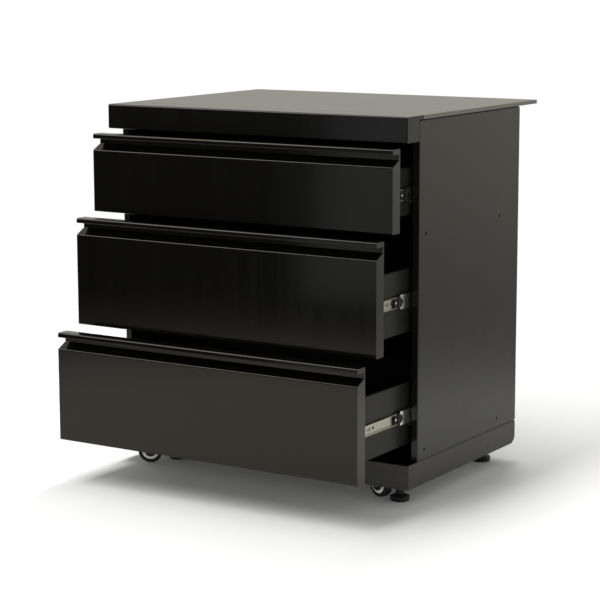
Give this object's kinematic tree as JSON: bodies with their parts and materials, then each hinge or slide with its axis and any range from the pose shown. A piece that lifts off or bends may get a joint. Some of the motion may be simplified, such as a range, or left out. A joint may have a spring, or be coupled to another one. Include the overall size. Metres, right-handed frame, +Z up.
{
  "type": "drawer cabinet",
  "caption": "Bench-height cabinet of folded black stainless sheet with pull-out drawers on ball-bearing slides, a worktop with rear overhang, casters and levelling feet.",
  "frame": {"origin": "bottom centre of the whole cabinet as stored, with its drawers partly out, on the floor under the foot pads", "axes": "+Z up, +X to the right seen from the front, the drawers pull out along -Y"},
  "size_m": [0.836, 0.8766, 0.9],
  "materials": {
    "black_stainless": "black brushed stainless, satin to glossy",
    "inner_sheet": "dark sheet, satin",
    "tray_sheet": "dark grey sheet, satin",
    "slide_chrome": "bright zinc",
    "slide_zinc": "cream zinc plate",
    "zinc_hardware": "zinc plate",
    "black_plastic": "moulded",
    "caster_fork": "black, satin",
    "wheel_hub": "light grey moulding",
    "tyre": "matt rubber",
    "foot_pad": "moulded"
  },
  "bodies": {
    "cabinet": {"left_side_panel": "black_stainless", "right_side_panel": "black_stainless", "back_panel": "black_stainless", "base_pan": "black_stainless", "base_channels": "inner_sheet", "worktop": "black_stainless", "fascia": "black_stainless", "top_channels": "inner_sheet", "slide_uprights": "inner_sheet", "cabinet_slide_rails": "slide_chrome", "foot_sleeves": "zinc_hardware", "caster_plates": "zinc_hardware", "cabinet_screws": "zinc_hardware"},
    "top_slide_mid": {"top_slide_mid_rails": "slide_chrome", "top_slide_bumpers": "black_plastic"},
    "top_drawer": {"top_drawer_front": "black_stainless", "top_front_backing": "inner_sheet", "top_drawer_tray": "tray_sheet", "top_drawer_rails": "slide_zinc"},
    "top_inner_cages": {"top_inner_ball_cages": "black_plastic"},
    "top_outer_cages": {"top_outer_ball_cages": "black_plastic"},
    "middle_slide_mid": {"middle_slide_mid_rails": "slide_chrome", "middle_slide_bumpers": "black_plastic"},
    "middle_drawer": {"middle_drawer_front": "black_stainless", "middle_front_backing": "inner_sheet", "middle_drawer_tray": "tray_sheet", "middle_drawer_rails": "slide_zinc"},
    "middle_inner_cages": {"middle_inner_ball_cages": "black_plastic"},
    "middle_outer_cages": {"middle_outer_ball_cages": "black_plastic"},
    "bottom_slide_mid": {"bottom_slide_mid_rails": "slide_chrome", "bottom_slide_bumpers": "black_plastic"},
    "bottom_drawer": {"bottom_drawer_front": "black_stainless", "bottom_front_backing": "inner_sheet", "bottom_drawer_tray": "tray_sheet", "bottom_drawer_rails": "slide_zinc"},
    "bottom_inner_cages": {"bottom_inner_ball_cages": "black_plastic"},
    "bottom_outer_cages": {"bottom_outer_ball_cages": "black_plastic"},
    "front_left_caster": {"front_left_caster_fork": "caster_fork"},
    "front_left_wheel": {"front_left_caster_hub": "wheel_hub", "front_left_caster_tyre": "tyre"},
    "front_right_caster": {"front_right_caster_fork": "caster_fork"},
    "front_right_wheel": {"front_right_caster_hub": "wheel_hub", "front_right_caster_tyre": "tyre"},
    "rear_left_caster": {"rear_left_caster_fork": "caster_fork"},
    "rear_left_wheel": {"rear_left_caster_hub": "wheel_hub", "rear_left_caster_tyre": "tyre"},
    "rear_right_caster": {"rear_right_caster_fork": "caster_fork"},
    "rear_right_wheel": {"rear_right_caster_hub": "wheel_hub", "rear_right_caster_tyre": "tyre"},
    "front_left_foot": {"front_left_foot_pad": "foot_pad", "front_left_foot_stem": "zinc_hardware"},
    "front_right_foot": {"front_right_foot_pad": "foot_pad", "front_right_foot_stem": "zinc_hardware"},
    "rear_left_foot": {"rear_left_foot_pad": "foot_pad", "rear_left_foot_stem": "zinc_hardware"},
    "rear_right_foot": {"rear_right_foot_pad": "foot_pad", "rear_right_foot_stem": "zinc_hardware"}
  },
  "joints": [
    {"name": "top_slide_extend", "type": "slide", "parent": "cabinet", "child": "top_slide_mid", "axis": [0, -1, 0], "range_m": [-0.047, 0.153]},
    {"name": "top_drawer_pull", "type": "slide", "parent": "top_slide_mid", "child": "top_drawer", "axis": [0, -1, 0], "range_m": [-0.0308, 0.1692]},
    {"name": "top_inner_cage_roll", "type": "slide", "parent": "top_slide_mid", "child": "top_inner_cages", "axis": [0, -1, 0], "range_m": [-0.0154, 0.0846]},
    {"name": "top_outer_cage_roll", "type": "slide", "parent": "cabinet", "child": "top_outer_cages", "axis": [0, -1, 0], "range_m": [-0.0235, 0.0765]},
    {"name": "middle_slide_extend", "type": "slide", "parent": "cabinet", "child": "middle_slide_mid", "axis": [0, -1, 0], "range_m": [-0.072, 0.128]},
    {"name": "middle_drawer_pull", "type": "slide", "parent": "middle_slide_mid", "child": "middle_drawer", "axis": [0, -1, 0], "range_m": [-0.076, 0.124]},
    {"name": "middle_inner_cage_roll", "type": "slide", "parent": "middle_slide_mid", "child": "middle_inner_cages", "axis": [0, -1, 0], "range_m": [-0.038, 0.062]},
    {"name": "middle_outer_cage_roll", "type": "slide", "parent": "cabinet", "child": "middle_outer_cages", "axis": [0, -1, 0], "range_m": [-0.036, 0.064]},
    {"name": "bottom_slide_extend", "type": "slide", "parent": "cabinet", "child": "bottom_slide_mid", "axis": [0, -1, 0], "range_m": [-0.07, 0.13]},
    {"name": "bottom_drawer_pull", "type": "slide", "parent": "bottom_slide_mid", "child": "bottom_drawer", "axis": [0, -1, 0], "range_m": [-0.1582, 0.0418]},
    {"name": "bottom_inner_cage_roll", "type": "slide", "parent": "bottom_slide_mid", "child": "bottom_inner_cages", "axis": [0, -1, 0], "range_m": [-0.0791, 0.0209]},
    {"name": "bottom_outer_cage_roll", "type": "slide", "parent": "cabinet", "child": "bottom_outer_cages", "axis": [0, -1, 0], "range_m": [-0.035, 0.065]},
    {"name": "front_left_caster_swivel", "type": "hinge", "parent": "cabinet", "child": "front_left_caster", "pos_m": [-0.334, -0.16655, 0.078], "axis": [0, 0, 1], "continuous": true},
    {"name": "front_left_wheel_spin", "type": "hinge", "parent": "front_left_caster", "child": "front_left_wheel", "pos_m": [-0.3433, -0.17244, 0.032], "axis": [0.5349, -0.8449, 0], "continuous": true},
    {"name": "front_right_caster_swivel", "type": "hinge", "parent": "cabinet", "child": "front_right_caster", "pos_m": [0.3022, -0.14835, 0.078], "axis": [0, 0, 1], "continuous": true},
    {"name": "front_right_wheel_spin", "type": "hinge", "parent": "front_right_caster", "child": "front_right_wheel", "pos_m": [0.31254, -0.1521, 0.032], "axis": [0.341, 0.9401, 0], "continuous": true},
    {"name": "rear_left_caster_swivel", "type": "hinge", "parent": "cabinet", "child": "rear_left_caster", "pos_m": [-0.288, 0.27165, 0.078], "axis": [0, 0, 1], "continuous": true},
    {"name": "rear_left_wheel_spin", "type": "hinge", "parent": "rear_left_caster", "child": "rear_left_wheel", "pos_m": [-0.2825, 0.26212, 0.032], "axis": [0.866, 0.5, 0], "continuous": true},
    {"name": "rear_right_caster_swivel", "type": "hinge", "parent": "cabinet", "child": "rear_right_caster", "pos_m": [0.288, 0.27165, 0.078], "axis": [0, 0, 1], "continuous": true},
    {"name": "rear_right_wheel_spin", "type": "hinge", "parent": "rear_right_caster", "child": "rear_right_wheel", "pos_m": [0.28093, 0.26322, 0.032], "axis": [0.7659, -0.6429, 0], "continuous": true},
    {"name": "front_left_foot_level", "type": "slide", "parent": "cabinet", "child": "front_left_foot", "axis": [0, 0, 1], "range_m": [-0.012, 0.004]},
    {"name": "front_right_foot_level", "type": "slide", "parent": "cabinet", "child": "front_right_foot", "axis": [0, 0, 1], "range_m": [-0.012, 0.004]},
    {"name": "rear_left_foot_level", "type": "slide", "parent": "cabinet", "child": "rear_left_foot", "axis": [0, 0, 1], "range_m": [-0.012, 0.004]},
    {"name": "rear_right_foot_level", "type": "slide", "parent": "cabinet", "child": "rear_right_foot", "axis": [0, 0, 1], "range_m": [-0.012, 0.004]}
  ],
  "couplings": [
    {"joint": "top_inner_cage_roll", "follows": "top_drawer_pull", "ratio": 0.5},
    {"joint": "top_outer_cage_roll", "follows": "top_slide_extend", "ratio": 0.5},
    {"joint": "middle_inner_cage_roll", "follows": "middle_drawer_pull", "ratio": 0.5},
    {"joint": "middle_outer_cage_roll", "follows": "middle_slide_extend", "ratio": 0.5},
    {"joint": "bottom_inner_cage_roll", "follows": "bottom_drawer_pull", "ratio": 0.5},
    {"joint": "bottom_outer_cage_roll", "follows": "bottom_slide_extend", "ratio": 0.5}
  ]
}
